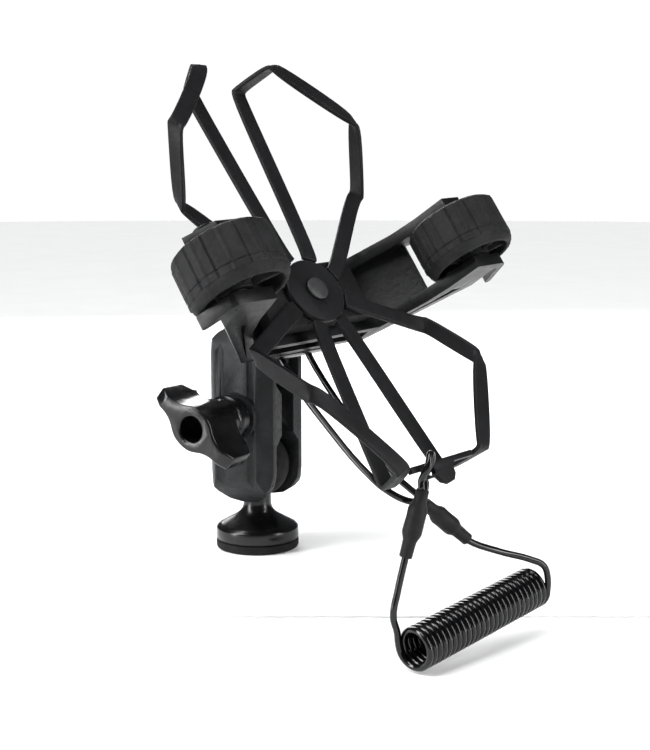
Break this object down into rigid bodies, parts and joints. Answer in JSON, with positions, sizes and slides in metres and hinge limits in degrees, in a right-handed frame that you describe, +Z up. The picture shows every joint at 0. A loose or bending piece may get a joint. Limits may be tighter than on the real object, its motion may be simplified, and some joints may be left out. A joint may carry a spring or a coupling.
{
  "type": "phone mount",
  "caption": "Ball-jointed phone cradle with eccentric rubber gripping wheels, a stretch harness and a curly leash, on a clamping arm and a round ball base.",
  "frame": {"origin": "centre of the round base's underside, where it is fastened down", "axes": "+Z up out of the base, the phone's glass faces -Y and leans back, +X is the phone's right-hand side"},
  "size_m": [0.1573, 0.1206, 0.2116],
  "materials": {
    "gloss_nylon": "moulded glossy black glass-filled nylon",
    "satin_composite": "fine-grained satin black composite",
    "yoke_nylon": "satin black moulded nylon",
    "wheel_rubber": "mottled dark grey moulded rubber",
    "ball_rubber": "matt black rubber",
    "silicone": "matt black silicone",
    "cord_urethane": "glossy black polyurethane",
    "shrink_sleeve": "matt black heat-shrink sleeve",
    "zinc_steel": "zinc-plated steel",
    "brass": "turned brass",
    "bush_nylon": "dark acetal",
    "black_steel": "black-oxide steel"
  },
  "bodies": {
    "base": {"base_pad": "ball_rubber", "base_body": "gloss_nylon", "thread_insert": "brass"},
    "lower_ball": {"lower_ball_cover": "ball_rubber"},
    "arm": {"arm_knob_half": "satin_composite", "arm_bolt_half": "satin_composite", "clamp_bolt": "zinc_steel", "clamp_spring": "zinc_steel", "knob_washer": "zinc_steel"},
    "knob": {"wing_knob": "gloss_nylon", "knob_nut": "brass"},
    "upper_ball": {"upper_ball_cover": "ball_rubber"},
    "cradle": {"ball_stem": "gloss_nylon", "stem_screw_lower_left": "zinc_steel", "stem_screw_upper_left": "zinc_steel", "stem_screw_lower_right": "zinc_steel", "stem_screw_upper_right": "zinc_steel", "yoke": "yoke_nylon", "back_pad": "ball_rubber", "hub_rivet": "bush_nylon", "left_wheel_pin": "black_steel", "right_wheel_pin": "black_steel", "harness_hub": "silicone", "harness_upper_left": "silicone", "harness_upper_right": "silicone", "harness_lower_left": "silicone", "harness_lower_right": "silicone", "harness_tab": "silicone", "leash_front_loop": "cord_urethane", "leash_front_sleeve": "shrink_sleeve", "leash_front_lead": "cord_urethane", "leash_coil": "cord_urethane", "leash_rear_lead": "cord_urethane", "leash_rear_sleeve": "shrink_sleeve", "leash_rear_loop": "cord_urethane"},
    "left_wheel": {"left_wheel": "wheel_rubber", "left_wheel_bush": "bush_nylon"},
    "right_wheel": {"right_wheel": "wheel_rubber", "right_wheel_bush": "bush_nylon"}
  },
  "joints": [
    {"name": "arm_swivel", "type": "hinge", "parent": "base", "child": "lower_ball", "pos_m": [0, 0, 0.0328], "axis": [0, 0, 1], "continuous": true},
    {"name": "arm_lean", "type": "hinge", "parent": "lower_ball", "child": "arm", "pos_m": [0, 0, 0.0328], "axis": [0.9563, 0.2924, 0], "range_deg": [-35, 35]},
    {"name": "knob_turn", "type": "hinge", "parent": "arm", "child": "knob", "pos_m": [0, 0, 0.05425], "axis": [0.9563, 0.2924, 0], "continuous": true},
    {"name": "cradle_nod", "type": "hinge", "parent": "arm", "child": "upper_ball", "pos_m": [0, 0, 0.0757], "axis": [0.9563, 0.2924, 0], "range_deg": [-40, 20]},
    {"name": "cradle_turn", "type": "hinge", "parent": "upper_ball", "child": "cradle", "pos_m": [0, 0, 0.0757], "axis": [0, -0.8211, 0.5707], "range_deg": [-90, 90]},
    {"name": "left_wheel_spin", "type": "hinge", "parent": "cradle", "child": "left_wheel", "pos_m": [-0.06261, -0.05564, 0.11462], "axis": [-0.055, 0.5699, 0.8199], "continuous": true},
    {"name": "right_wheel_spin", "type": "hinge", "parent": "cradle", "child": "right_wheel", "pos_m": [0.06221, -0.05172, 0.12026], "axis": [-0.055, 0.5699, 0.8199], "continuous": true}
  ]
}
